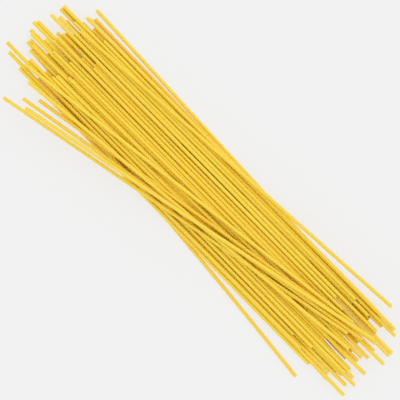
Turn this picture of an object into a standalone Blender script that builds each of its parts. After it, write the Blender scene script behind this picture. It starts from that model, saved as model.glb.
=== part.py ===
"""A loose bundle of dry spaghetti lying flat, as one closed solid.

Every strand is a straight stick, and all are of one length but for a few that have lost a
little from one end. The sticks are laid out in sheaves, each with its own fan and stagger,
and then settled under their own weight on a flat surface and on each other. The solid is
the settled sticks, joined by a core that fills the space between them up to the sticks that
lie on top. +X runs along the bundle, +Z is up, and the origin is under the middle of the
bundle's box, on the surface that it lies on.
"""

from typing import NamedTuple

import bmesh
import bpy
import numpy as np
from mathutils import Matrix, Vector

# Driving dimensions, in millimetres.
MM = 0.001
STRAND_LENGTH = 250.0
STRAND_DIAMETER = 2.2
STICK_SIDES = 8
# A sheaf's fan is given by where its strands cross the lines x = -LANE_X and x = +LANE_X.
LANE_X = 120.0

# How the strands are settled: layers start LAYER_RISE apart, contacts are looked for at
# stations STATION_STEP apart, and the fall dies away over the first FALL_UNTIL of the steps.
LAYER_RISE = 2.6
LAYER_SCATTER = 0.6
STATION_STEP = 5.0
REACH_X = 155.0
SETTLE_STEPS = 4000
FALL_PER_STEP = 0.02
FALL_UNTIL = 0.85
FALL_EXPONENT = 1.5
LEAN_GRIP = 4.0
LEAN_GRIP_MOST = 0.5
PUSH = 2.2
NEIGHBOUR_GAP = 1.2
NEIGHBOURS_EVERY = 60
LAYOUT_SEED = 4
DROP_SEED = 5
# A slim rod of unit mass turns about its middle with a moment of length squared over this.
ROD_MOMENT_DIVISOR = 12.0
TINY = 1e-9

# The core between the strands. Its rim leaves out CORE_TRIM per cent of them on each side.
CORE_HALF_LENGTH = 112.0
CORE_STATIONS = 15
CORE_COLUMNS = 14
CORE_TRIM = 1.0
CORE_BELOW_STRAND = 0.2
CORE_LEAST_HEIGHT = 0.6

SEMOLINA = (0.831, 0.571, 0.068, 1.0)
SEMOLINA_ROUGHNESS = 0.45


class Sheaf(NamedTuple):
    """Strands laid side by side: their layer, how firmly they keep their lane, the first and
    last lane at the left and at the right, how far each is pushed along, and how much each
    has lost from its right-hand end."""

    name: str
    layer: float
    grip: float
    left: tuple
    right: tuple
    slides: tuple = ()
    lost: tuple = ()


FLOOR_STRANDS = 17
FLOOR_SLIDE = 9.0
FLOOR_SCATTER = 0.7

SHEAVES = (
    Sheaf("floor", 0, 0.15, (25.2, -14.0), (20.0, -24.5)),
    Sheaf("outer_left", 0, 8.0, (34.1, 34.1), (22.7, 22.7), (1.2,)),
    Sheaf("lower_right_lone", 0, 4.0, (-16.2, -16.2), (-36.2, -36.2), (-6.5,)),
    Sheaf("left_proud_rim", 2, 2.0, (29.4, 29.4), (22.5, 22.5), (4.2,)),
    Sheaf("left_proud_upper", 1, 0.6, (25.4, 21.4), (22.0, 19.0), (1.6, -14.0)),
    Sheaf("left_proud_middle", 1, 0.6, (18.4, 18.4), (17.0, 17.0), (-14.5,)),
    Sheaf("left_proud_pair", 1, 1.5, (4.0, 1.9), (3.9, 1.7), (-19.0, -21.0)),
    Sheaf("left_proud_single", 1, 0.6, (7.6, 7.6), (7.6, 7.6), (15.4,)),
    Sheaf("left_proud_low", 1, 1.5, (-0.4, -2.6), (-0.5, -2.7), (-8.0, -18.5)),
    Sheaf("left_proud_five", 1, 1.5, (-6.8, -16.4), (-7.0, -17.1), (-14.5, -14.5, -10.0, 6.0, 12.0)),
    Sheaf("right_proud_upper", 1, 0.6, (22.8, 20.7), (20.5, 18.5), (8.4, 8.4)),
    Sheaf("right_proud_middle", 1, 1.5, (15.8, 10.5), (15.9, 12.0), (24.0, 24.0)),
    Sheaf("right_proud_three", 2, 1.5, (5.8, -4.6), (1.6, -3.2), (16.0, 12.6, 12.6)),
    Sheaf("right_proud_low", 2, 1.5, (-5.5, -5.5), (-6.9, -6.9), (21.0,)),
    Sheaf("right_proud_lower", 2, 1.5, (-9.5, -15.0), (-11.0, -16.2), (13.0, 18.0, 22.0)),
    Sheaf("right_proud_edge", 1, 0.6, (-20.0, -20.0), (-23.3, -23.3), (21.6,)),
    Sheaf("upper_deck", 3, 1.0, (23.9, 19.6), (22.9, 20.1), (17.9, -14.5, -2.5)),
    Sheaf("upper_deck_edge", 3, 1.0, (25.4, 25.4), (24.8, 24.8), (14.7,)),
    Sheaf("upper_rim", 4, 4.0, (26.8, 26.8), (25.3, 25.3), (0.4,)),
    Sheaf("middle_deck", 3, 1.5, (17.6, 15.9), (16.4, 13.9), (8.5, -11.5), (0.0, 12.5)),
    Sheaf("middle_deck_low", 3, 1.0, (12.4, 2.4), (10.8, 0.4), (-16.0, -3.0, 25.0, -3.5, -3.5)),
    Sheaf("pair_deck", 3, 1.0, (-1.8, -4.5), (-0.9, -3.6), (1.0, -16.5)),
    Sheaf("lower_deck", 3, 1.0, (-6.3, -12.5), (-6.4, -14.2), (18.6, -10.5, 13.0, 11.6)),
    Sheaf("lower_deck_edge", 3, 1.0, (-14.6, -18.8), (-16.7, -21.7), (-5.4, 18.0, 5.4), (7.8, 0.0, 0.0)),
    Sheaf("left_lone_pair", 3.2, 4.0, (-18.0, -21.5), (-20.3, -23.5), (-22.8, -17.7), (3.5, 0.0)),
    Sheaf("lower_edge", 2.5, 4.0, (-23.0, -23.0), (-25.6, -25.6), (-6.6,)),
    Sheaf("crossing_first", 5, 1.0, (-18.2, -18.2), (9.8, 9.8), (-5.9,)),
    Sheaf("crossing_second", 4.5, 1.0, (-30.6, -30.6), (8.4, 8.4), (14.0,)),
    Sheaf("crossing_third", 4.5, 1.0, (-35.5, -35.5), (4.9, 4.9), (6.4,)),
    Sheaf("crossing_fourth", 5.2, 1.0, (-39.6, -39.6), (8.6, 8.6), (11.8,)),
    Sheaf("crossing_fifth", 4.2, 1.0, (-41.6, -41.6), (3.8, 3.8), (-2.7,)),
    Sheaf("crossing_last", 4.6, 1.0, (-25.2, -25.2), (-3.3, -3.3), (3.3,)),
    Sheaf("right_lone", 5, 4.0, (18.3, 18.3), (32.8, 32.8), (3.8,)),
)


class Strands(NamedTuple):
    """One row for each strand: its length, its centre along X, half its span along X, and its
    centre line as a place and a slope, sideways (y, lean) and upwards (z, tilt)."""

    length: np.ndarray
    x: np.ndarray
    half: np.ndarray
    y: np.ndarray
    lean: np.ndarray
    z: np.ndarray
    tilt: np.ndarray


def clear_scene():
    for old in list(bpy.data.objects):
        bpy.data.objects.remove(old, do_unlink=True)


def make_collection(name):
    collection = bpy.data.collections.new(name)
    bpy.context.scene.collection.children.link(collection)
    return collection


def fan(first, last, count):
    return np.linspace(first, last, count) if count > 1 else np.array([first])


def lay_strands():
    """The strands as they are laid out, before they settle: (strands, layers, grips)."""
    scatter = np.random.default_rng(LAYOUT_SEED)
    slides, lefts, rights, lost, layers, grips = [], [], [], [], [], []
    for sheaf in SHEAVES:
        count = len(sheaf.slides) or FLOOR_STRANDS
        left = fan(*sheaf.left, count)
        right = fan(*sheaf.right, count)
        slide = np.array(sheaf.slides)
        if not sheaf.slides:
            slide = scatter.uniform(-FLOOR_SLIDE, FLOOR_SLIDE, count)
            left = left + scatter.normal(0.0, FLOOR_SCATTER, count)
            right = right + scatter.normal(0.0, FLOOR_SCATTER, count)
        slides.extend(slide)
        lefts.extend(left)
        rights.extend(right)
        lost.extend(sheaf.lost or [0.0] * count)
        layers.extend([sheaf.layer] * count)
        grips.extend([sheaf.grip] * count)
    length = STRAND_LENGTH - np.array(lost)
    x = np.array(slides) - np.array(lost) / 2
    lean = (np.array(rights) - np.array(lefts)) / (2 * LANE_X)
    y = (np.array(rights) + np.array(lefts)) / 2 + lean * x
    half = length / 2 * np.cos(np.arctan(lean))
    flat = np.zeros(len(x))
    return Strands(length, x, half, y, lean, flat, flat), np.array(layers), np.array(grips)


def neighbours(y, on):
    """The pairs of strands that lie side by side or cross somewhere along their length."""
    first, second = np.triu_indices(len(y), 1)
    both = on[first] & on[second]
    apart = np.where(both, np.abs(y[first] - y[second]), np.inf)
    near = apart.min(axis=1) < STRAND_DIAMETER + NEIGHBOUR_GAP
    return first[near], second[near]


def settle(strands, layers, grips):
    """Lets the strands fall layer by layer until each lies on the floor or on other strands.

    Each strand stays straight and keeps its length. At every step it falls a little, is drawn
    back to its own lane by its grip, and is pushed out of whatever it has sunk into.
    """
    count = len(strands.x)
    radius = STRAND_DIAMETER / 2
    drop = np.random.default_rng(DROP_SEED)
    stations = np.arange(-REACH_X, REACH_X + STATION_STEP, STATION_STEP)
    arm = stations[None, :] - strands.x[:, None]
    on = np.abs(arm) <= strands.half[:, None]
    turn = ROD_MOMENT_DIVISOR / STRAND_LENGTH**2
    y, lean = strands.y.copy(), strands.lean.copy()
    z = radius + layers * LAYER_RISE + drop.uniform(0.0, LAYER_SCATTER, count)
    tilt = np.zeros(count)
    for step in range(SETTLE_STEPS):
        # The pairs that may touch, and how much each gives at a station when it is pushed there.
        if step % NEIGHBOURS_EVERY == 0:
            one, two = neighbours(y[:, None] + lean[:, None] * arm, on)
            both = on[one] & on[two]
            arm_one, arm_two = arm[one], arm[two]
            give = 2.0 + turn * (arm_one**2 + arm_two**2)
        left = max(0.0, 1 - step / SETTLE_STEPS / FALL_UNTIL)
        fall = FALL_PER_STEP * left**FALL_EXPONENT
        z -= fall
        y += grips * fall * (strands.y - y)
        lean += np.minimum(LEAN_GRIP * grips * fall, LEAN_GRIP_MOST) * (strands.lean - lean)
        across = y[:, None] + lean[:, None] * arm
        height = z[:, None] + tilt[:, None] * arm
        side = across[two] - across[one]
        rise = height[two] - height[one]
        apart = np.sqrt(side**2 + rise**2) + TINY
        overlap = np.where(both, np.maximum(STRAND_DIAMETER - apart, 0.0), 0.0)
        push = overlap / give / apart
        touching = (push > 0).sum(axis=1)
        sunk = np.where(on, np.maximum(radius - height, 0.0), 0.0) / (1 + turn * arm**2)
        contacts = (sunk > 0).sum(axis=1)
        np.add.at(contacts, one, touching)
        np.add.at(contacts, two, touching)
        share = PUSH / np.maximum(contacts, 1)
        moves = np.zeros((4, count))
        moves[2] = sunk.sum(axis=1)
        moves[3] = (sunk * arm).sum(axis=1) * turn
        for row, force in ((0, push * side), (2, push * rise)):
            np.add.at(moves[row], one, -force.sum(axis=1))
            np.add.at(moves[row], two, force.sum(axis=1))
            np.add.at(moves[row + 1], one, -(force * arm_one).sum(axis=1) * turn)
            np.add.at(moves[row + 1], two, (force * arm_two).sum(axis=1) * turn)
        y += share * moves[0]
        lean += share * moves[1]
        z += share * moves[2]
        tilt += share * moves[3]
    half = strands.length / 2 / np.sqrt(1 + lean**2 + tilt**2)
    return Strands(strands.length, strands.x, half, y, lean, z, tilt)


def centred(strands):
    """The same strands with the middle of their box over the origin."""
    radius = STRAND_DIAMETER / 2
    tip_y = np.stack([strands.y - strands.lean * strands.half, strands.y + strands.lean * strands.half])
    middle_x = ((strands.x + strands.half).max() + (strands.x - strands.half).min()) / 2
    middle_y = ((tip_y + radius).max() + (tip_y - radius).min()) / 2
    return strands._replace(x=strands.x - middle_x, y=strands.y - middle_y)


def build_stick(strands, index):
    """One straight stick with flat ends, its flats turned level and upright."""
    bm = bmesh.new()
    direction = Vector((1.0, strands.lean[index], strands.tilt[index])).normalized()
    sideways = Vector((0.0, 0.0, 1.0)).cross(direction).normalized()
    upwards = direction.cross(sideways)
    centre = Vector((strands.x[index], strands.y[index], strands.z[index])) * MM
    axes = Matrix((sideways, upwards, direction)).transposed().to_4x4()
    half_side = Matrix.Rotation(np.pi / STICK_SIDES, 4, "Z")
    bmesh.ops.create_cone(
        bm,
        cap_ends=True,
        segments=STICK_SIDES,
        radius1=STRAND_DIAMETER / 2 * MM,
        radius2=STRAND_DIAMETER / 2 * MM,
        depth=strands.length[index] * MM,
        matrix=Matrix.Translation(centre) @ axes @ half_side,
    )
    return mesh_object(f"stick_{index + 1:02d}", bm)


def strands_at(strands, x):
    """Where the strands that reach a station stand there: (sideways, heights)."""
    reach = np.abs(x - strands.x) < strands.half
    arm = x - strands.x[reach]
    return strands.y[reach] + strands.lean[reach] * arm, strands.z[reach] + strands.tilt[reach] * arm


def core_section(strands, x):
    """One section of the core: its columns from side to side, as (sideways, heights)."""
    across, height = strands_at(strands, x)
    columns = np.linspace(*np.percentile(across, (CORE_TRIM, 100 - CORE_TRIM)), CORE_COLUMNS)
    window = (columns[1] - columns[0]) / 2
    tops = []
    for column in columns:
        under = height[np.abs(across - column) <= window]
        top = under.max() - CORE_BELOW_STRAND if len(under) else 0.0
        tops.append(max(top, CORE_LEAST_HEIGHT))
    return columns, tops


def build_core(strands):
    """The closed mound between the strands: flat below, sloping up from its rim, and as high
    as the strands on top."""
    bm = bmesh.new()
    bmesh.ops.create_grid(bm, x_segments=CORE_STATIONS - 1, y_segments=CORE_COLUMNS - 1, size=1.0)
    for vert in bm.verts:
        columns, tops = core_section(strands, vert.co.x * CORE_HALF_LENGTH)
        column = round((vert.co.y + 1) / 2 * (CORE_COLUMNS - 1))
        height = 0.0 if vert.is_boundary else tops[column]
        vert.co = Vector((vert.co.x * CORE_HALF_LENGTH, columns[column], height)) * MM
    rim = [edge for edge in bm.edges if edge.is_boundary]
    bmesh.ops.contextual_create(bm, geom=rim)
    bmesh.ops.triangulate(bm, faces=bm.faces[:])
    bmesh.ops.recalc_face_normals(bm, faces=bm.faces[:])
    return mesh_object("spaghetti_bundle", bm)


def mesh_object(name, bm):
    mesh = bpy.data.meshes.new(name)
    bm.to_mesh(mesh)
    bm.free()
    return bpy.data.objects.new(name, mesh)


def pasta_material():
    material = bpy.data.materials.new("dry_semolina_pasta")
    material.use_nodes = True
    shader = material.node_tree.nodes["Principled BSDF"]
    shader.inputs["Base Color"].default_value = SEMOLINA
    shader.inputs["Roughness"].default_value = SEMOLINA_ROUGHNESS
    shader.inputs["Metallic"].default_value = 0.0
    return material


def main():
    clear_scene()
    parts = make_collection("dry_spaghetti_bundle")
    sticks = make_collection("joined_sticks")
    strands = centred(settle(*lay_strands()))
    bundle = build_core(strands)
    bundle.data.materials.append(pasta_material())
    parts.objects.link(bundle)
    for index in range(len(strands.x)):
        stick = build_stick(strands, index)
        stick.hide_render = True
        stick.display_type = "WIRE"
        sticks.objects.link(stick)
    join = bundle.modifiers.new("join_sticks", "BOOLEAN")
    join.operation = "UNION"
    # The exact solver leaves this many slightly crossed sticks open along some edges.
    join.solver = "MANIFOLD"
    join.operand_type = "COLLECTION"
    join.collection = sticks


main()
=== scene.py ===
"""A loose bundle of dry spaghetti, with every strand laid, settled and finished by itself.

The strands are laid out in sheaves, each with its own fan and stagger, and settled on each
other as straight sticks. Each one is then drawn as a real strand: a little uneven in length,
thickness and line, cut at both ends, and golden in its own shade. A hidden core fills the
middle of the bundle from below. +X runs along the bundle, +Y across it and +Z up, and the
origin is under the middle of the bundle.
"""

from __future__ import annotations

import logging
import math
from dataclasses import dataclass, field, replace
from enum import Enum
from typing import Any

import bmesh
import bpy
import numpy as np
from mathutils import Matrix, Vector


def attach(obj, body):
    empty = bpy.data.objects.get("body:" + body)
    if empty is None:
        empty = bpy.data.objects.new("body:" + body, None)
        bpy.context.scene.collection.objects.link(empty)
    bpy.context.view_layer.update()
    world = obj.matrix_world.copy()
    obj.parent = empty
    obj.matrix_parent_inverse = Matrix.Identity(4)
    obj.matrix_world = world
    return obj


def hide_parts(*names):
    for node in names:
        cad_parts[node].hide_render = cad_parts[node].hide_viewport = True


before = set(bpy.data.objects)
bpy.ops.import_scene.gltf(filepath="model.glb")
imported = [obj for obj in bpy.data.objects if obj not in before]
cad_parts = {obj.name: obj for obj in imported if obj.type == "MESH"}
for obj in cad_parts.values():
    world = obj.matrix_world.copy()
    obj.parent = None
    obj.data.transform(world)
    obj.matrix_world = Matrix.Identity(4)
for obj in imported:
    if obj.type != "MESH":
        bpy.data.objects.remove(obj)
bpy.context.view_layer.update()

LOG = logging.getLogger("spaghetti")
MM = 0.001
BODY = "root"
CAD_NODE = "spaghetti_bundle"
MATERIAL_SLOT = "dry_semolina_pasta"

# The driving dimensions of a strand, in millimetres.
STRAND_LENGTH = 250.0
STRAND_DIAMETER = 2.2

Colour = tuple[float, float, float, float]
Range = tuple[float, float]
WHITE: Colour = (1.0, 1.0, 1.0, 1.0)


# ---------------------------------------------------------------------------------------
# Nodes, for materials and for Geometry Nodes alike
# ---------------------------------------------------------------------------------------


class Value:
    """One number in a tree of nodes, so that sums of such numbers read as plain Python."""

    def __init__(self, graph: NodeGraph, socket: bpy.types.NodeSocket) -> None:
        """Wraps an output socket.

        Args:
            graph: the tree that the socket is in.
            socket: the output that holds the number.
        """
        self.graph = graph
        self.socket = socket

    def _math(self, operation: str, left: Value | float, right: Value | float) -> Value:
        """The result of one Math node on two numbers."""
        return self.graph.node("ShaderNodeMath", {"operation": operation}, {0: left, 1: right})

    def __add__(self, other: Value | float) -> Value:
        """self + other."""
        return self._math("ADD", self, other)

    def __radd__(self, other: float) -> Value:
        """other + self."""
        return self._math("ADD", other, self)

    def __sub__(self, other: Value | float) -> Value:
        """self - other."""
        return self._math("SUBTRACT", self, other)

    def __rsub__(self, other: float) -> Value:
        """other - self."""
        return self._math("SUBTRACT", other, self)

    def __mul__(self, other: Value | float) -> Value:
        """self * other."""
        return self._math("MULTIPLY", self, other)

    def __rmul__(self, other: float) -> Value:
        """other * self."""
        return self._math("MULTIPLY", other, self)

    def __truediv__(self, other: Value | float) -> Value:
        """self / other."""
        return self._math("DIVIDE", self, other)

    def __rtruediv__(self, other: float) -> Value:
        """other / self."""
        return self._math("DIVIDE", other, self)

    def __gt__(self, other: Value | float) -> Value:
        """1 where self is above other, and 0 elsewhere."""
        return self._math("GREATER_THAN", self, other)

    def at_least(self, other: Value | float) -> Value:
        """The larger of self and other."""
        return self._math("MAXIMUM", self, other)

    def at_most(self, other: Value | float) -> Value:
        """The smaller of self and other."""
        return self._math("MINIMUM", self, other)

    def ramp(self, low: float, high: float) -> Value:
        """0 where self is at low, 1 where it is at high, and smooth between them.

        Args:
            low: the number that becomes 0.
            high: the number that becomes 1.

        Returns:
            The eased and clamped number.
        """
        settings = {"interpolation_type": "SMOOTHSTEP"}
        sockets = {"Value": self, "From Min": low, "From Max": high}
        return self.graph.node("ShaderNodeMapRange", settings, sockets)


class NodeGraph:
    """A tree of nodes and the one way in which nodes are added to it."""

    def __init__(self, tree: bpy.types.NodeTree) -> None:
        """Takes over a tree.

        Args:
            tree: a material's or a modifier's node tree.
        """
        self.tree = tree

    @staticmethod
    def _pick(sockets: Any, key: int | str) -> bpy.types.NodeSocket:
        """Finds one socket.

        Args:
            sockets: a node's inputs or its outputs.
            key: the socket's index or its identifier.

        Returns:
            The socket.
        """
        if isinstance(key, int):
            return sockets[key]
        return next(socket for socket in sockets if socket.identifier == key)

    def node(
        self,
        kind: str,
        settings: dict[str, Any] | None = None,
        sockets: dict[int | str, Any] | None = None,
        output: int | str = 0,
    ) -> Value:
        """Adds one node.

        Args:
            kind: the node's type.
            settings: its settings, such as a Math node's operation, which are set first.
            sockets: a value or a link for each of its inputs, by index or identifier.
            output: the output that is wanted.

        Returns:
            That output, ready to be linked or to be reckoned with.
        """
        made = self.tree.nodes.new(kind)
        for name, setting in (settings or {}).items():
            setattr(made, name, setting)
        for key, given in (sockets or {}).items():
            socket = self._pick(made.inputs, key)
            if isinstance(given, Value):
                self.tree.links.new(given.socket, socket)
            else:
                socket.default_value = given
        return Value(self, self._pick(made.outputs, output))

    def vector(self, operation: str, left: Any, right: Any = (0.0, 0.0, 0.0)) -> Value:
        """One Vector Math node on two vectors."""
        return self.node("ShaderNodeVectorMath", {"operation": operation}, {0: left, 1: right})

    def measured(self, operation: str, left: Any, right: Any = (0.0, 0.0, 0.0)) -> Value:
        """One Vector Math node that makes a number of two vectors, or of the first alone."""
        sockets = {0: left, 1: right}
        return self.node("ShaderNodeVectorMath", {"operation": operation}, sockets, "Value")

    def scaled(self, vector: Value, factor: Value | float) -> Value:
        """A vector times a number."""
        sockets = {"Vector": vector, "Scale": factor}
        return self.node("ShaderNodeVectorMath", {"operation": "SCALE"}, sockets)

    def mixed(self, factor: Value | float, first: Any, second: Any) -> Value:
        """One Mix node on two colours.

        Args:
            factor: 0 for the first colour and 1 for the second.
            first: a colour or a link to one.
            second: a colour or a link to one.

        Returns:
            The mixed colour.
        """
        settings = {"data_type": "RGBA", "blend_type": "MIX", "clamp_result": True}
        sockets = {"Factor_Float": factor, "A_Color": first, "B_Color": second}
        return self.node("ShaderNodeMix", settings, sockets, "Result_Color")

    def noise(self, place: Value, detail: float, roughness: float = 0.5) -> Value:
        """Noise at a place that is already scaled: about 0 to 1, and mostly near a half."""
        sockets = {"Vector": place, "Scale": 1.0, "Detail": detail, "Roughness": roughness}
        return self.node("ShaderNodeTexNoise", {"noise_dimensions": "3D"}, sockets)


# ---------------------------------------------------------------------------------------
# How the strands lie
# ---------------------------------------------------------------------------------------


@dataclass(frozen=True)
class Sheaf:
    """Strands laid side by side, in millimetres.

    layer is how high they start and grip how firmly they keep their lanes. left and right are
    the first and the last lane at the two lane lines, slides how far each strand is pushed
    along, and lost how much it has lost from its right-hand end. bow is how far its ends bend
    back against its middle, and tint its shade: 0 for amber and 1 for straw.
    """

    name: str
    layer: float
    grip: float
    left: tuple[float, float]
    right: tuple[float, float]
    slides: tuple[float, ...] = ()
    lost: tuple[float, ...] = ()
    bow: float = 0.0
    tint: float = 0.5


@dataclass(frozen=True)
class Strands:
    """One row for each strand, in millimetres: its length, its centre along X, half its span
    along X, and its centre line as a place and a slope, sideways (y, lean) and upwards (z,
    tilt)."""

    length: np.ndarray
    x: np.ndarray
    half: np.ndarray
    y: np.ndarray
    lean: np.ndarray
    z: np.ndarray
    tilt: np.ndarray

    def middles(self) -> np.ndarray:
        """Each strand's middle, in metres."""
        return np.stack([self.x, self.y, self.z], axis=1) * MM

    def reaches(self) -> np.ndarray:
        """From each strand's middle to its right-hand end, in metres."""
        return np.stack([self.half, self.lean * self.half, self.tilt * self.half], axis=1) * MM

    def centre(self) -> tuple[float, float]:
        """The middle of the strands' box.

        Returns:
            Its x and y, in millimetres.
        """
        radius = STRAND_DIAMETER / 2
        tips = np.stack([self.y - self.lean * self.half, self.y + self.lean * self.half])
        middle_x = ((self.x + self.half).max() + (self.x - self.half).min()) / 2
        middle_y = ((tips + radius).max() + (tips - radius).min()) / 2
        return float(middle_x), float(middle_y)

    def at(self, x: float) -> tuple[np.ndarray, np.ndarray]:
        """Where the strands that reach a station stand there.

        Args:
            x: the station along the bundle.

        Returns:
            Their places sideways and their heights.
        """
        reach = np.abs(x - self.x) < self.half
        arm = x - self.x[reach]
        return self.y[reach] + self.lean[reach] * arm, self.z[reach] + self.tilt[reach] * arm


@dataclass
class Layout:
    """The sheaves as they are laid out, before they settle.

    A sheaf's lanes are given where they cross the lines x = -lane_x and x = +lane_x. The lowest
    sheaf has no slides of its own: its strands are scattered over their lanes and along them.
    """

    lane_x: float = 120.0
    floor_strands: int = 17
    floor_slide: float = 9.0
    floor_scatter: float = 0.7
    seed: int = 4
    sheaves: tuple[Sheaf, ...] = (
        Sheaf("floor", 0, 0.15, (25.2, -14.0), (20.0, -24.5)),
        Sheaf("outer_left", 0, 8.0, (34.1, 34.1), (22.7, 22.7), (1.2,)),
        Sheaf("lower_right_lone", 0, 4.0, (-16.2, -16.2), (-36.2, -36.2), (-6.5,), bow=1.5),
        Sheaf("left_proud_rim", 2, 2.0, (29.4, 29.4), (22.5, 22.5), (4.2,), tint=0.3),
        Sheaf("left_proud_upper", 1, 0.6, (25.4, 21.4), (22.0, 19.0), (1.6, -14.0)),
        Sheaf("left_proud_middle", 1, 0.6, (18.4, 18.4), (17.0, 17.0), (-14.5,)),
        Sheaf("left_proud_pair", 1, 1.5, (4.0, 1.9), (3.9, 1.7), (-19.0, -21.0)),
        Sheaf("left_proud_single", 1, 0.6, (7.6, 7.6), (7.6, 7.6), (15.4,)),
        Sheaf("left_proud_low", 1, 1.5, (-0.4, -2.6), (-0.5, -2.7), (-8.0, -18.5)),
        Sheaf(
            "left_proud_five", 1, 1.5, (-6.8, -16.4), (-7.0, -17.1),
            (-14.5, -14.5, -10.0, 6.0, 12.0),
        ),
        Sheaf("right_proud_upper", 1, 0.6, (22.8, 20.7), (20.5, 18.5), (8.4, 8.4)),
        Sheaf("right_proud_middle", 1, 1.5, (15.8, 10.5), (15.9, 12.0), (24.0, 24.0)),
        Sheaf("right_proud_three", 2, 1.5, (5.8, -4.6), (1.6, -3.2), (16.0, 12.6, 12.6), tint=0.2),
        Sheaf("right_proud_low", 2, 1.5, (-5.5, -5.5), (-6.9, -6.9), (21.0,)),
        Sheaf("right_proud_lower", 2, 1.5, (-9.5, -15.0), (-11.0, -16.2), (13.0, 18.0, 22.0)),
        Sheaf("right_proud_edge", 1, 0.6, (-20.0, -20.0), (-23.3, -23.3), (21.6,)),
        Sheaf("upper_deck", 3, 1.0, (23.9, 19.6), (22.9, 20.1), (17.9, -14.5, -2.5)),
        Sheaf("upper_deck_edge", 3, 1.0, (25.4, 25.4), (24.8, 24.8), (14.7,)),
        Sheaf("upper_rim", 4, 4.0, (26.8, 26.8), (25.3, 25.3), (0.4,)),
        Sheaf("middle_deck", 3, 1.5, (17.6, 15.9), (16.4, 13.9), (8.5, -11.5), (0.0, 12.5)),
        Sheaf("middle_deck_low", 3, 1.0, (12.4, 2.4), (10.8, 0.4), (-16.0, -3.0, 25.0, -3.5, -3.5)),
        Sheaf("pair_deck", 3, 1.0, (-1.8, -4.5), (-0.9, -3.6), (1.0, -16.5)),
        Sheaf("lower_deck", 3, 1.0, (-6.3, -12.5), (-6.4, -14.2), (18.6, -10.5, 13.0, 11.6)),
        Sheaf(
            "lower_deck_edge", 3, 1.0, (-14.6, -18.8), (-16.7, -21.7),
            (-5.4, 18.0, 5.4), (7.8, 0.0, 0.0),
        ),
        Sheaf(
            "left_lone_pair", 3.2, 4.0, (-18.0, -21.5), (-20.3, -23.5),
            (-22.8, -17.7), (3.5, 0.0),
        ),
        Sheaf("lower_edge", 2.5, 4.0, (-23.0, -23.0), (-25.6, -25.6), (-6.6,)),
        Sheaf("crossing_first", 5, 1.0, (-18.2, -18.2), (9.8, 9.8), (-5.9,), tint=0.7),
        Sheaf("crossing_second", 4.5, 1.0, (-30.6, -30.6), (8.4, 8.4), (14.0,), tint=0.25),
        Sheaf("crossing_third", 4.5, 1.0, (-35.5, -35.5), (4.9, 4.9), (6.4,), tint=0.7),
        Sheaf("crossing_fourth", 5.2, 1.0, (-39.6, -39.6), (8.6, 8.6), (11.8,), tint=0.7),
        Sheaf("crossing_fifth", 4.2, 1.0, (-41.6, -41.6), (3.8, 3.8), (-2.7,), tint=0.7),
        Sheaf("crossing_last", 4.6, 1.0, (-25.2, -25.2), (-3.3, -3.3), (3.3,), tint=0.7),
        Sheaf("right_lone", 5, 4.0, (18.3, 18.3), (32.8, 32.8), (3.8,), tint=0.3),
    )
    layers: np.ndarray = field(init=False)
    grips: np.ndarray = field(init=False)
    bows: np.ndarray = field(init=False)
    tints: np.ndarray = field(init=False)

    @staticmethod
    def _fan(ends: tuple[float, float], count: int) -> np.ndarray:
        """Evenly spread lanes from the first to the last."""
        return np.linspace(ends[0], ends[1], count) if count > 1 else np.array([ends[0]])

    def lay(self) -> Strands:
        """Lays every sheaf and notes each strand's layer, grip, bow and tint.

        Returns:
            The strands, level and at no height yet.
        """
        scatter = np.random.default_rng(self.seed)
        slides, lefts, rights, lost = [], [], [], []
        layers, grips, bows, tints = [], [], [], []
        for sheaf in self.sheaves:
            count = len(sheaf.slides) or self.floor_strands
            left = self._fan(sheaf.left, count)
            right = self._fan(sheaf.right, count)
            slide = np.array(sheaf.slides)
            if not sheaf.slides:
                slide = scatter.uniform(-self.floor_slide, self.floor_slide, count)
                left = left + scatter.normal(0.0, self.floor_scatter, count)
                right = right + scatter.normal(0.0, self.floor_scatter, count)
            slides.extend(slide)
            lefts.extend(left)
            rights.extend(right)
            lost.extend(sheaf.lost or [0.0] * count)
            layers.extend([sheaf.layer] * count)
            grips.extend([sheaf.grip] * count)
            bows.extend([sheaf.bow] * count)
            tints.extend([sheaf.tint] * count)
        self.layers = np.array(layers)
        self.grips = np.array(grips)
        self.bows = np.array(bows)
        self.tints = np.array(tints)
        length = STRAND_LENGTH - np.array(lost)
        x = np.array(slides) - np.array(lost) / 2
        lean = (np.array(rights) - np.array(lefts)) / (2 * self.lane_x)
        y = (np.array(rights) + np.array(lefts)) / 2 + lean * x
        half = length / 2 * np.cos(np.arctan(lean))
        flat = np.zeros(len(x))
        return Strands(length, x, half, y, lean, flat, flat)


@dataclass(frozen=True)
class Pairs:
    """The pairs of strands that may touch: the one and the other strand of each pair, the
    stations that both reach, each one's arm to them, and how much the pair gives there."""

    one: np.ndarray
    two: np.ndarray
    both: np.ndarray
    arm_one: np.ndarray
    arm_two: np.ndarray
    give: np.ndarray


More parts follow.
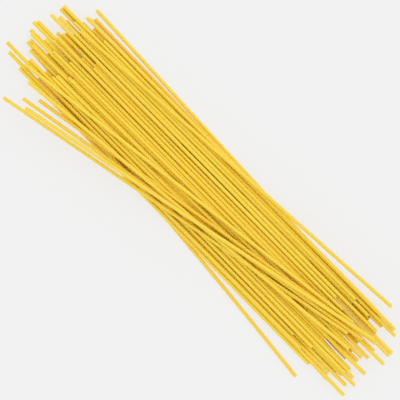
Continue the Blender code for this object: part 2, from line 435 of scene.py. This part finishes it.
@dataclass(frozen=True)
class Settling:
    """Lets straight sticks come to rest on the floor and on each other, in millimetres.

    The layers start layer_rise apart, and the fall dies away over the first fall_until of the
    steps. Contacts are looked for at stations station_step apart out to reach_x. push is how
    many times over an overlap is put right in one step, shared among all of a strand's
    contacts. A strand's lean is drawn back lean_grip times as fast as its place, and at most
    lean_grip_most of the way in one step. neighbour_gap is how wide a gap two strands may have
    between them and still be looked at together, and neighbours_every is how many steps go by
    before they are looked up again.
    """

    layer_rise: float = 2.6
    layer_scatter: float = 0.6
    station_step: float = 5.0
    reach_x: float = 155.0
    steps: int = 4000
    fall_per_step: float = 0.02
    fall_until: float = 0.85
    fall_exponent: float = 1.5
    lean_grip: float = 4.0
    lean_grip_most: float = 0.5
    push: float = 2.2
    neighbour_gap: float = 1.2
    neighbours_every: int = 60
    rod_moment_divisor: float = 12.0
    tiny: float = 1e-9
    seed: int = 5

    @property
    def turn(self) -> float:
        """How readily a slim rod of unit mass turns about its middle."""
        return self.rod_moment_divisor / STRAND_LENGTH**2

    def _pairs(self, across: np.ndarray, arm: np.ndarray, on: np.ndarray) -> Pairs:
        """Finds the strands that lie side by side or cross somewhere along their length.

        Args:
            across: each strand's place sideways at each station.
            arm: how far each station is from each strand's middle.
            on: whether each strand reaches each station.

        Returns:
            The pairs that may touch.
        """
        one, two = np.triu_indices(len(across), 1)
        apart = np.where(on[one] & on[two], np.abs(across[one] - across[two]), np.inf)
        near = apart.min(axis=1) < STRAND_DIAMETER + self.neighbour_gap
        one, two = one[near], two[near]
        arm_one, arm_two = arm[one], arm[two]
        # Two rods of unit mass, each of which moves and turns when it is pushed at its arm.
        give = 2.0 + self.turn * (arm_one**2 + arm_two**2)
        return Pairs(one, two, on[one] & on[two], arm_one, arm_two, give)

    def _moves(
        self, pairs: Pairs, across: np.ndarray, height: np.ndarray, arm: np.ndarray, on: np.ndarray
    ) -> np.ndarray:
        """How far each strand is pushed out of the floor and of the strands it has sunk into.

        Args:
            pairs: the strands that may touch.
            across: each strand's place sideways at each station.
            height: each strand's height at each station.
            arm: how far each station is from each strand's middle.
            on: whether each strand reaches each station.

        Returns:
            Four rows, each with a number for every strand: the moves of y, lean, z and tilt.
        """
        side = across[pairs.two] - across[pairs.one]
        rise = height[pairs.two] - height[pairs.one]
        apart = np.sqrt(side**2 + rise**2) + self.tiny
        overlap = np.where(pairs.both, np.maximum(STRAND_DIAMETER - apart, 0.0), 0.0)
        push = overlap / pairs.give / apart
        touching = (push > 0).sum(axis=1)
        depth = np.maximum(STRAND_DIAMETER / 2 - height, 0.0)
        sunk = np.where(on, depth, 0.0) / (1 + self.turn * arm**2)
        contacts = (sunk > 0).sum(axis=1)
        np.add.at(contacts, pairs.one, touching)
        np.add.at(contacts, pairs.two, touching)
        moves = np.zeros((4, len(across)))
        moves[2] = sunk.sum(axis=1)
        moves[3] = (sunk * arm).sum(axis=1) * self.turn
        for row, force in ((0, push * side), (2, push * rise)):
            np.add.at(moves[row], pairs.one, -force.sum(axis=1))
            np.add.at(moves[row], pairs.two, force.sum(axis=1))
            np.add.at(moves[row + 1], pairs.one, -(force * pairs.arm_one).sum(axis=1) * self.turn)
            np.add.at(moves[row + 1], pairs.two, (force * pairs.arm_two).sum(axis=1) * self.turn)
        return self.push / np.maximum(contacts, 1) * moves

    def settle(self, strands: Strands, layers: np.ndarray, grips: np.ndarray) -> Strands:
        """Drops the strands layer by layer.

        Each strand stays straight and keeps its length. At every step it falls a little, is
        drawn back to its own lane by its grip, and is pushed out of whatever it has sunk into.

        Args:
            strands: the strands as laid out.
            layers: how high each starts, in layers.
            grips: how firmly each keeps its lane.

        Returns:
            The strands at rest.
        """
        count = len(strands.x)
        drop = np.random.default_rng(self.seed)
        stations = np.arange(-self.reach_x, self.reach_x + self.station_step, self.station_step)
        arm = stations[None, :] - strands.x[:, None]
        on = np.abs(arm) <= strands.half[:, None]
        y, lean = strands.y.copy(), strands.lean.copy()
        scatter = drop.uniform(0.0, self.layer_scatter, count)
        z = STRAND_DIAMETER / 2 + layers * self.layer_rise + scatter
        tilt = np.zeros(count)
        for step in range(self.steps):
            if step % self.neighbours_every == 0:
                pairs = self._pairs(y[:, None] + lean[:, None] * arm, arm, on)
            left = max(0.0, 1 - step / self.steps / self.fall_until)
            fall = self.fall_per_step * left**self.fall_exponent
            z -= fall
            y += grips * fall * (strands.y - y)
            straighten = np.minimum(self.lean_grip * grips * fall, self.lean_grip_most)
            lean += straighten * (strands.lean - lean)
            across = y[:, None] + lean[:, None] * arm
            height = z[:, None] + tilt[:, None] * arm
            moves = self._moves(pairs, across, height, arm, on)
            y += moves[0]
            lean += moves[1]
            z += moves[2]
            tilt += moves[3]
        half = strands.length / 2 / np.sqrt(1 + lean**2 + tilt**2)
        return Strands(strands.length, strands.x, half, y, lean, z, tilt)


# ---------------------------------------------------------------------------------------
# Finishes
# ---------------------------------------------------------------------------------------


class Mark(str, Enum):
    """What each strand carries with it, as named attributes."""

    MIDDLE = "middle"
    REACH = "reach"
    BOW = "bow"
    GIRTH = "girth"
    SLANT = "slant"
    TINT = "tint"
    SHIFT = "shift"
    ROUND = "round_place"
    GRAIN = "grain_place"
    CUT = "cut_end"

    @property
    def wide(self) -> bool:
        """Whether it is a vector and not a number."""
        return self in (Mark.MIDDLE, Mark.REACH, Mark.SLANT, Mark.ROUND, Mark.GRAIN)

    @property
    def kind(self) -> str:
        """Its type of attribute."""
        return "FLOAT_VECTOR" if self.wide else "FLOAT"


@dataclass(frozen=True)
class Pattern:
    """A pattern of noise: how fast it changes along a strand and across it, for each
    millimetre, and how much finer detail lies in it."""

    along: float
    across: float
    detail: float
    roughness: float = 0.5

    def laid(self, graph: NodeGraph, place: Value) -> Value:
        """Lays the pattern on the pasta.

        Args:
            graph: the tree of nodes that it is used in.
            place: where on a strand each point is, in millimetres.

        Returns:
            A number from about 0 to 1, and mostly near a half.
        """
        scaled = graph.vector("MULTIPLY", place, (self.along, self.across, self.across))
        return graph.noise(scaled, self.detail, self.roughness)


@dataclass(frozen=True)
class SemolinaFinish:
    """Dry durum semolina: golden, a little translucent, with fine lengthwise streaks from the
    die, scattered specks of bran, and a chalky face where a strand is cut.

    The shade runs from amber over golden to straw. It is made of a strand's own tint, of
    streaks and of clouds, in the shares given, and the ranges say where in it each colour comes
    in.
    """

    name: str = MATERIAL_SLOT
    amber: Colour = (0.97, 0.60, 0.032, 1.0)
    golden: Colour = (0.98, 0.71, 0.050, 1.0)
    straw: Colour = (0.99, 0.76, 0.075, 1.0)
    chalk: Colour = (0.97, 0.79, 0.21, 1.0)
    bran: Colour = (0.90, 0.52, 0.03, 1.0)
    roughness: float = 0.42
    roughness_spread: float = 0.16
    subsurface: float = 0.2
    subsurface_radius: tuple[float, float, float] = (1.0, 0.7, 0.2)
    subsurface_scale: float = 0.001
    bump_strength: float = 0.25
    bump_distance: float = 0.00006
    streaks: Pattern = Pattern(0.05, 2.6, 3.0)
    clouds: Pattern = Pattern(0.07, 0.35, 2.0)
    grains: Pattern = Pattern(5.0, 7.0, 2.0, 0.6)
    flecks: Pattern = Pattern(1.1, 2.4, 0.0)
    tint_share: float = 0.6
    streak_share: float = 0.25
    cloud_share: float = 0.3
    shade_shift: float = -0.08
    golden_range: Range = (0.05, 0.5)
    straw_range: Range = (0.45, 0.95)
    grain_range: Range = (0.62, 0.78)
    grain_most: float = 0.35
    fleck_range: Range = (0.72, 0.8)
    fleck_most: float = 0.4
    chalk_most: float = 0.8
    cut_roughness: float = 0.3
    streak_relief: float = 0.6
    grain_relief: float = 0.4

    def build(self) -> bpy.types.Material:
        """Makes the material.

        Returns:
            The finished material.
        """
        material = bpy.data.materials.new(self.name)
        material.use_nodes = True
        graph = NodeGraph(material.node_tree)
        place = self._attribute(graph, Mark.GRAIN, "Vector")
        cut = self._attribute(graph, Mark.CUT, "Fac")
        streaks = self.streaks.laid(graph, place)
        grains = self.grains.laid(graph, place)
        colour = self._colour(graph, place, streaks, grains)
        colour = graph.mixed(cut * self.chalk_most, colour, self.chalk)
        rough = self.roughness + self.roughness_spread * (streaks - 0.5) + cut * self.cut_roughness
        relief = streaks * self.streak_relief + grains * self.grain_relief
        bump = graph.node(
            "ShaderNodeBump",
            None,
            {"Strength": self.bump_strength, "Distance": self.bump_distance, "Height": relief},
        )
        shader = material.node_tree.nodes["Principled BSDF"]
        links = material.node_tree.links
        links.new(colour.socket, shader.inputs["Base Color"])
        links.new(rough.socket, shader.inputs["Roughness"])
        links.new(bump.socket, shader.inputs["Normal"])
        shader.inputs["Subsurface Weight"].default_value = self.subsurface
        shader.inputs["Subsurface Radius"].default_value = self.subsurface_radius
        shader.inputs["Subsurface Scale"].default_value = self.subsurface_scale
        return material

    def _colour(self, graph: NodeGraph, place: Value, streaks: Value, grains: Value) -> Value:
        """The colour of the skin, away from the cut ends.

        Args:
            graph: the material's tree.
            place: where on a strand each point is, in millimetres.
            streaks: the lengthwise streaks.
            grains: the grains of semolina.

        Returns:
            The colour.
        """
        tint = self._attribute(graph, Mark.TINT, "Fac")
        clouds = self.clouds.laid(graph, place)
        flecks = self.flecks.laid(graph, place)
        shade = tint * self.tint_share + streaks * self.streak_share
        shade = shade + clouds * self.cloud_share + self.shade_shift
        colour = graph.mixed(shade.ramp(*self.golden_range), self.amber, self.golden)
        colour = graph.mixed(shade.ramp(*self.straw_range), colour, self.straw)
        grain = grains.ramp(*self.grain_range) * self.grain_most
        fleck = flecks.ramp(*self.fleck_range) * self.fleck_most
        return graph.mixed(fleck, graph.mixed(grain, colour, self.straw), self.bran)

    @staticmethod
    def _attribute(graph: NodeGraph, mark: Mark, output: str) -> Value:
        """One of the marks that the strands carry."""
        return graph.node("ShaderNodeAttribute", {"attribute_name": mark.value}, None, output)


@dataclass(frozen=True)
class PaleFloor:
    """A plain, matt, pale surface that glows evenly, so that it takes only a faint shadow."""

    name: str = "pale_surface"
    colour: Colour = (0.22, 0.22, 0.22, 1.0)
    glow: float = 0.672
    roughness: float = 0.9

    def build(self) -> bpy.types.Material:
        """Makes the material.

        Returns:
            The finished material.
        """
        material = bpy.data.materials.new(self.name)
        material.use_nodes = True
        shader = material.node_tree.nodes["Principled BSDF"]
        shader.inputs["Base Color"].default_value = self.colour
        shader.inputs["Roughness"].default_value = self.roughness
        shader.inputs["Specular IOR Level"].default_value = 0.0
        shader.inputs["Emission Color"].default_value = WHITE
        shader.inputs["Emission Strength"].default_value = self.glow
        return material


# ---------------------------------------------------------------------------------------
# The strands
# ---------------------------------------------------------------------------------------


@dataclass
class StrandBundle:
    """Every strand of the bundle, drawn along its own centre line, in millimetres.

    A girth of 1 is the strand's diameter from corner to corner, and girth_mean makes a section
    with this many sides as full as a round one. girth_wave is how much the girth changes along
    a strand and waviness how fast. The spreads are how much one strand differs from the next,
    and shift_most moves each one's grain along, so that no two look alike. The chamfer's ring
    at a strand's end has chamfer_girth of the girth, and the look of a cut is over at
    end_length.
    """

    strands: Strands
    bows: np.ndarray
    tints: np.ndarray
    name: str = "spaghetti_strands"
    sides: int = 14
    rings: int = 26
    chamfer: float = 0.12
    end_length: float = 0.6
    chamfer_girth: float = 0.9
    girth_mean: float = 1.017
    girth_spread: float = 0.012
    girth_wave: float = 0.03
    waviness: Pattern = Pattern(0.02, 0.0, 1.0)
    bow_spread: float = 0.22
    bow_most: float = 0.5
    length_spread: float = 0.6
    tint_spread: float = 0.3
    slant_spread: float = 0.07
    shift_most: float = 1000.0
    seed: int = 11

    def _guides(self) -> bpy.types.Object:
        """One edge for each strand, with what the strand carries as attributes.

        Returns:
            The object that the strands are drawn from.
        """
        draw = np.random.default_rng(self.seed)
        count = len(self.strands.x)
        middles, reaches = self.strands.middles(), self.strands.reaches()
        uneven = np.abs(draw.normal(0.0, self.length_spread, count)) / self.strands.length
        reaches *= 1 - uneven[:, None]
        bow = np.clip(draw.normal(0.0, self.bow_spread, count), -self.bow_most, self.bow_most)
        marks = {
            Mark.MIDDLE: middles,
            Mark.REACH: reaches,
            Mark.BOW: (bow + self.bows) * MM,
            Mark.GIRTH: draw.normal(self.girth_mean, self.girth_spread, count),
            Mark.SLANT: draw.normal(0.0, self.slant_spread, (count, 3)),
            Mark.TINT: self.tints + draw.uniform(-self.tint_spread, self.tint_spread, count),
            Mark.SHIFT: draw.uniform(0.0, self.shift_most, count),
        }
        ends = np.stack([middles - reaches, middles + reaches], axis=1).reshape(-1, 3)
        edges = np.arange(2 * count).reshape(-1, 2)
        mesh = bpy.data.meshes.new("strand_guides")
        mesh.from_pydata(ends.tolist(), edges.tolist(), [])
        for mark, rows in marks.items():
            attribute = mesh.attributes.new(mark.value, mark.kind, "POINT")
            both_ends = np.repeat(rows, 2, axis=0).astype(np.float32)
            attribute.data.foreach_set("vector" if mark.wide else "value", both_ends.ravel())
        guides = bpy.data.objects.new("strand_guides", mesh)
        bpy.context.scene.collection.objects.link(guides)
        return guides

    def _inputs(self, finish: bpy.types.Material) -> dict[str, tuple[str, Any]]:
        """The tree's inputs.

        Args:
            finish: the pasta's material.

        Returns:
            For each input's name, its type of socket and what it is given.
        """
        return {
            "Radius": ("NodeSocketFloat", STRAND_DIAMETER / 2 * MM),
            "Sides": ("NodeSocketInt", self.sides),
            "Rings": ("NodeSocketInt", self.rings),
            "Chamfer": ("NodeSocketFloat", self.chamfer * MM),
            "End Length": ("NodeSocketFloat", self.end_length * MM),
            "Chamfer Girth": ("NodeSocketFloat", self.chamfer_girth),
            "Girth Wave": ("NodeSocketFloat", self.girth_wave),
            "Finish": ("NodeSocketMaterial", finish),
        }

    def _tree(self, inputs: dict[str, tuple[str, Any]]) -> bpy.types.NodeTree:
        """The tree that draws a strand along each guide.

        Args:
            inputs: the type of each of its inputs.

        Returns:
            A Geometry Nodes tree with the strand's sizes as its inputs.
        """
        tree = bpy.data.node_groups.new("draw_strands", "GeometryNodeTree")
        tree.interface.new_socket("Guides", in_out="INPUT", socket_type="NodeSocketGeometry")
        for name, (kind, _) in inputs.items():
            tree.interface.new_socket(name, in_out="INPUT", socket_type=kind)
        tree.interface.new_socket("Strands", in_out="OUTPUT", socket_type="NodeSocketGeometry")
        graph = NodeGraph(tree)
        given = tree.nodes.new("NodeGroupInput")
        size = {socket.name: Value(graph, socket) for socket in given.outputs if socket.name}

        curve = graph.node("GeometryNodeMeshToCurve", {"mode": "EDGES"}, {"Mesh": size["Guides"]})
        curve = graph.node(
            "GeometryNodeResampleCurve", {"mode": "COUNT"}, {"Curve": curve, "Count": size["Rings"]}
        )
        index = graph.node("GeometryNodeSplineParameter", output="Index")
        curve = self._drawn_out(graph, curve, index, size)
        profile = graph.node(
            "GeometryNodeCurvePrimitiveCircle",
            {"mode": "RADIUS"},
            {"Resolution": size["Sides"], "Radius": size["Radius"]},
        )
        profile = self._stored(graph, profile, Mark.ROUND, graph.node("GeometryNodeInputPosition"))
        mesh = graph.node(
            "GeometryNodeCurveToMesh",
            None,
            {
                "Curve": curve,
                "Profile Curve": profile,
                "Scale": self._named(graph, Mark.GIRTH),
                "Fill Caps": True,
            },
        )
        mesh = self._cut_aslant(graph, mesh)
        mesh = graph.node("GeometryNodeRealizeInstances", None, {"Geometry": mesh})
        mesh = graph.node(
            "GeometryNodeSetMaterial", None, {"Geometry": mesh, "Material": size["Finish"]}
        )
        taken = tree.nodes.new("NodeGroupOutput")
        tree.links.new(mesh.socket, taken.inputs[0])
        return tree

    @staticmethod
    def _named(graph: NodeGraph, mark: Mark) -> Value:
        """One of the strand's marks, read back inside the tree."""
        settings = {"data_type": mark.kind}
        return graph.node("GeometryNodeInputNamedAttribute", settings, {"Name": mark.value})

    @staticmethod
    def _stored(graph: NodeGraph, geometry: Value, mark: Mark, value: Value) -> Value:
        """Keeps a value on every point, as one of the marks.

        Args:
            graph: the tree.
            geometry: the curves or the mesh.
            mark: the name that the value is kept under.
            value: what is kept.

        Returns:
            The geometry with the mark on it.
        """
        settings = {"data_type": mark.kind, "domain": "POINT"}
        sockets = {"Geometry": geometry, "Name": mark.value, "Value": value}
        return graph.node("GeometryNodeStoreNamedAttribute", settings, sockets)

    @staticmethod
    def _ring_places(index: Value, length: Value, size: dict[str, Value]) -> Value:
        """How far each ring stands from the strand's left end.

        The first ring is the end itself, the second stands a chamfer in and the third where
        the cut end is over. The last three stand likewise, and the others evenly between.

        Args:
            index: the ring's number.
            length: the strand's length.
            size: the tree's inputs.

        Returns:
            The distance along the strand.
        """
        last = size["Rings"] - 1.0
        share = (index - 2.0) / (last - 4.0)
        even = share * (length - 2.0 * size["End Length"]) + size["End Length"]
        from_left = even.at_least(index.at_most(1.0) * size["Chamfer"])
        return from_left.at_most(length - (last - index).at_most(1.0) * size["Chamfer"])

    @staticmethod
    def _within(rings: float, index: Value, last: Value) -> Value:
        """1 on the rings that are fewer than this many rings from an end, and 0 elsewhere."""
        return (rings - index).at_least(index - last + rings) > 0.0

    def _drawn_out(
        self, graph: NodeGraph, curve: Value, index: Value, size: dict[str, Value]
    ) -> Value:
        """Puts the rings in their places, and notes each one's girth, grain and end.

        Args:
            graph: the tree.
            curve: the resampled centre lines.
            index: the ring's number.
            size: the tree's inputs.

        Returns:
            The centre lines.
        """
        reach = self._named(graph, Mark.REACH)
        half = graph.measured("LENGTH", reach)
        share = self._ring_places(index, half * 2.0, size) / half - 1.0
        along = graph.vector("ADD", self._named(graph, Mark.MIDDLE), graph.scaled(reach, share))
        aside = graph.vector("NORMALIZE", graph.vector("CROSS_PRODUCT", (0.0, 0.0, 1.0), reach))
        # The middle moves a third of the bow one way and the ends two thirds of it the other.
        bend = self._named(graph, Mark.BOW) * (1.0 / 3.0 - share * share)
        place = graph.vector("ADD", along, graph.scaled(aside, bend))
        grain = share * half / MM + self._named(graph, Mark.SHIFT)
        spot = graph.node("ShaderNodeCombineXYZ", None, {"X": grain})
        wave = (self.waviness.laid(graph, spot) - 0.5) * size["Girth Wave"]
        last = size["Rings"] - 1.0
        at_end = self._within(0.5, index, last)
        girth = self._named(graph, Mark.GIRTH) + wave
        girth = girth * (1.0 - at_end * (1.0 - size["Chamfer Girth"]))
        curve = self._stored(graph, curve, Mark.SHIFT, grain)
        curve = self._stored(graph, curve, Mark.CUT, self._within(1.5, index, last))
        curve = self._stored(graph, curve, Mark.GIRTH, girth)
        sockets = {"Geometry": curve, "Position": place}
        curve = graph.node("GeometryNodeSetPosition", None, sockets)
        return graph.node("GeometryNodeSetCurveNormal", {"mode": "Z_UP"}, {"Curve": curve})

    def _cut_aslant(self, graph: NodeGraph, mesh: Value) -> Value:
        """Tilts each cut end a little, and lays the grain on the surface.

        Args:
            graph: the tree.
            mesh: the strands' skins.

        Returns:
            The skins with their ends cut and their grain noted.
        """
        around = self._named(graph, Mark.ROUND)
        slip = graph.measured("DOT_PRODUCT", around, self._named(graph, Mark.SLANT))
        direction = graph.vector("NORMALIZE", self._named(graph, Mark.REACH))
        offset = graph.scaled(direction, slip * self._named(graph, Mark.CUT))
        mesh = graph.node("GeometryNodeSetPosition", None, {"Geometry": mesh, "Offset": offset})
        along = graph.node("ShaderNodeCombineXYZ", None, {"X": self._named(graph, Mark.SHIFT)})
        grain = graph.vector("ADD", along, self._turned(graph, graph.scaled(around, 1 / MM)))
        return self._stored(graph, mesh, Mark.GRAIN, grain)

    @staticmethod
    def _turned(graph: NodeGraph, around: Value) -> Value:
        """A place on the round section, turned so that it lies across the strand's length.

        Args:
            graph: the tree.
            around: the place in the section's own plane, as x and y.

        Returns:
            The same place as y and z.
        """
        sideways = (0.0, 1.0, 0.0)
        kept = graph.vector("MULTIPLY", around, sideways)
        return graph.vector("ADD", kept, graph.vector("CROSS_PRODUCT", sideways, around))

    def build(self, finish: bpy.types.Material) -> bpy.types.Object:
        """Draws every strand and turns the result into a plain mesh.

        Args:
            finish: the pasta's material.

        Returns:
            The piece, with its place in its mesh.
        """
        guides = self._guides()
        inputs = self._inputs(finish)
        tree = self._tree(inputs)
        modifier = guides.modifiers.new("draw_strands", "NODES")
        modifier.node_group = tree
        for socket in tree.interface.items_tree:
            if socket.in_out == "INPUT" and socket.name in inputs:
                modifier[socket.identifier] = inputs[socket.name][1]
        bpy.context.view_layer.update()
        drawn = guides.evaluated_get(bpy.context.evaluated_depsgraph_get())
        mesh = bpy.data.meshes.new_from_object(drawn)
        mesh.name = self.name
        bpy.data.objects.remove(guides)
        piece = bpy.data.objects.new(self.name, mesh)
        bpy.context.scene.collection.objects.link(piece)
        return piece


@dataclass
class BundleCore:
    """The hidden mound that the strands lie over, in millimetres. It follows them from below,
    so that a gap between two of them shows pasta and not darkness.

    On each side it leaves out trim per cent of the strands. A column's top is below_strand under
    the centre line of the highest strand within window of it, and never under bottom.
    """

    strands: Strands
    name: str = "spaghetti_core"
    half_length: float = 96.0
    stations: int = 49
    columns: int = 35
    trim: float = 9.0
    window: float = 1.3
    below_strand: float = 0.9
    bottom: float = 0.1
    tint: float = 0.4

    def _section(self, x: float) -> tuple[np.ndarray, np.ndarray]:
        """One cross-section of the mound, before it is lowered to its neighbours.

        Args:
            x: the station along the bundle.

        Returns:
            The columns' places sideways and their heights.
        """
        across, height = self.strands.at(x)
        edges = np.percentile(across, (self.trim, 100.0 - self.trim))
        columns = np.linspace(*edges, self.columns)
        over = np.abs(across[None, :] - columns[:, None]) <= self.window
        tops = np.where(over, height[None, :], 0.0).max(axis=1)
        return columns, np.maximum(tops - self.below_strand, self.bottom)

    @staticmethod
    def _lowered(heights: np.ndarray) -> np.ndarray:
        """Keeps the mound from standing proud between two of its points.

        Args:
            heights: the height at each station and column.

        Returns:
            Each height lowered to the least of itself and its neighbours.
        """
        for axis in (0, 1):
            before = np.roll(heights, 1, axis)
            after = np.roll(heights, -1, axis)
            heights = np.minimum(heights, np.minimum(before, after))
        return heights

    def build(self, finish: bpy.types.Material) -> bpy.types.Object:
        """Makes the closed mound: flat below and following the strands above.

        Args:
            finish: the pasta's material.

        Returns:
            The piece, with its place in its mesh.
        """
        stations = np.linspace(-self.half_length, self.half_length, self.stations)
        sections = [self._section(x) for x in stations]
        places = np.array([columns for columns, _ in sections])
        heights = self._lowered(np.array([tops for _, tops in sections]))
        shape = bmesh.new()
        sizes = {"x_segments": self.stations - 1, "y_segments": self.columns - 1, "size": 1.0}
        bmesh.ops.create_grid(shape, **sizes)
        for vert in shape.verts:
            row = round((vert.co.x + 1.0) / 2.0 * (self.stations - 1))
            column = round((vert.co.y + 1.0) / 2.0 * (self.columns - 1))
            height = self.bottom if vert.is_boundary else heights[row, column]
            vert.co = Vector((stations[row], places[row, column], height)) * MM
        rim = [edge for edge in shape.edges if edge.is_boundary]
        bmesh.ops.contextual_create(shape, geom=rim)
        bmesh.ops.recalc_face_normals(shape, faces=shape.faces[:])
        mesh = bpy.data.meshes.new(self.name)
        shape.to_mesh(mesh)
        shape.free()
        mesh.materials.append(finish)
        self._mark(mesh)
        core = bpy.data.objects.new(self.name, mesh)
        bpy.context.scene.collection.objects.link(core)
        return core

    def _mark(self, mesh: bpy.types.Mesh) -> None:
        """Lays the strands' grain and an even tint on the mound.

        Args:
            mesh: the mound's mesh.
        """
        places = np.empty(len(mesh.vertices) * 3, np.float32)
        mesh.vertices.foreach_get("co", places)
        grain = mesh.attributes.new(Mark.GRAIN.value, Mark.GRAIN.kind, "POINT")
        grain.data.foreach_set("vector", places / np.float32(MM))
        tint = mesh.attributes.new(Mark.TINT.value, Mark.TINT.kind, "POINT")
        tint.data.foreach_set("value", np.full(len(mesh.vertices), self.tint, np.float32))


# ---------------------------------------------------------------------------------------
# The studio
# ---------------------------------------------------------------------------------------


@dataclass
class Studio:
    """A pale floor, one broad soft light from the +Y side, light all round, and the camera
    straight above the bundle, turned so that the bundle lies corner to corner.

    The camera sees a field of field_width metres at focus_height and as far away as sight, and
    looks at the place aim, which is in the millimetres of the layout. The floor lies a hair
    under the strands.
    """

    floor_size: float = 6.0
    floor_below: float = 0.00005
    sun_strength: float = 0.35
    sun_angle: float = 50.0
    sun_elevation: float = 50.0
    sky_strength: float = 0.89
    lens: float = 150.0
    sensor: float = 36.0
    sight: float = 20.0
    field_width: float = 0.2404
    focus_height: float = 0.007
    turn: float = 45.0
    aim: tuple[float, float] = (1.6, -2.8)

    def build(self, centre: tuple[float, float]) -> None:
        """Sets up the floor, the lights and the camera.

        Args:
            centre: the middle of the laid-out bundle, in millimetres.
        """
        self._floor()
        self._lights()
        self._camera(centre)
        bpy.context.scene.view_settings.view_transform = "Standard"

    def _floor(self) -> None:
        """The pale floor, which isn't part of the object."""
        mesh = bpy.data.meshes.new("floor")
        shape = bmesh.new()
        bmesh.ops.create_grid(shape, x_segments=1, y_segments=1, size=self.floor_size / 2)
        bmesh.ops.translate(shape, verts=shape.verts, vec=(0.0, 0.0, -self.floor_below))
        shape.to_mesh(mesh)
        shape.free()
        mesh.materials.append(PaleFloor().build())
        floor = bpy.data.objects.new("floor", mesh)
        bpy.context.scene.collection.objects.link(floor)

    def _lights(self) -> None:
        """The broad soft light and the light all round."""
        light = bpy.data.lights.new("softbox", "SUN")
        light.energy = self.sun_strength
        light.angle = math.radians(self.sun_angle)
        sun = bpy.data.objects.new("softbox", light)
        sun.rotation_euler = (math.radians(self.sun_elevation - 90.0), 0.0, 0.0)
        bpy.context.scene.collection.objects.link(sun)
        world = bpy.data.worlds.new("studio")
        world.use_nodes = True
        sky = world.node_tree.nodes["Background"]
        sky.inputs["Color"].default_value = WHITE
        sky.inputs["Strength"].default_value = self.sky_strength
        bpy.context.scene.world = world

    def _camera(self, centre: tuple[float, float]) -> None:
        """The camera, straight above.

        Args:
            centre: the middle of the laid-out bundle, in millimetres.
        """
        lens = bpy.data.cameras.new("camera")
        lens.lens = self.lens
        lens.sensor_width = self.sensor
        lens.clip_end = self.sight
        camera = bpy.data.objects.new("camera", lens)
        distance = self.field_width * self.lens / self.sensor
        x, y = ((aim - middle) * MM for aim, middle in zip(self.aim, centre))
        camera.location = Vector((x, y, self.focus_height + distance))
        camera.rotation_euler = (0.0, 0.0, math.radians(self.turn))
        bpy.context.scene.collection.objects.link(camera)
        bpy.context.scene.camera = camera


def main() -> None:
    """Builds the bundle and the studio."""
    logging.basicConfig(level=logging.INFO, format="%(message)s")
    layout = Layout()
    laid = layout.lay()
    rest = Settling().settle(laid, layout.layers, layout.grips)
    centre = rest.centre()
    rest = replace(rest, x=rest.x - centre[0], y=rest.y - centre[1])
    highest = float(rest.z.max()) + STRAND_DIAMETER / 2
    LOG.info("%d strands settled, the highest at about %.1f mm", len(rest.x), highest)

    pasta = SemolinaFinish().build()
    strands = StrandBundle(rest, layout.bows, layout.tints).build(pasta)
    core = BundleCore(rest).build(pasta)
    for piece in (strands, core):
        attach(piece, BODY)
        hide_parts(CAD_NODE)
        LOG.info("%s: %d faces", piece.name, len(piece.data.polygons))

    Studio().build(centre)


if __name__ == "__main__":
    main()
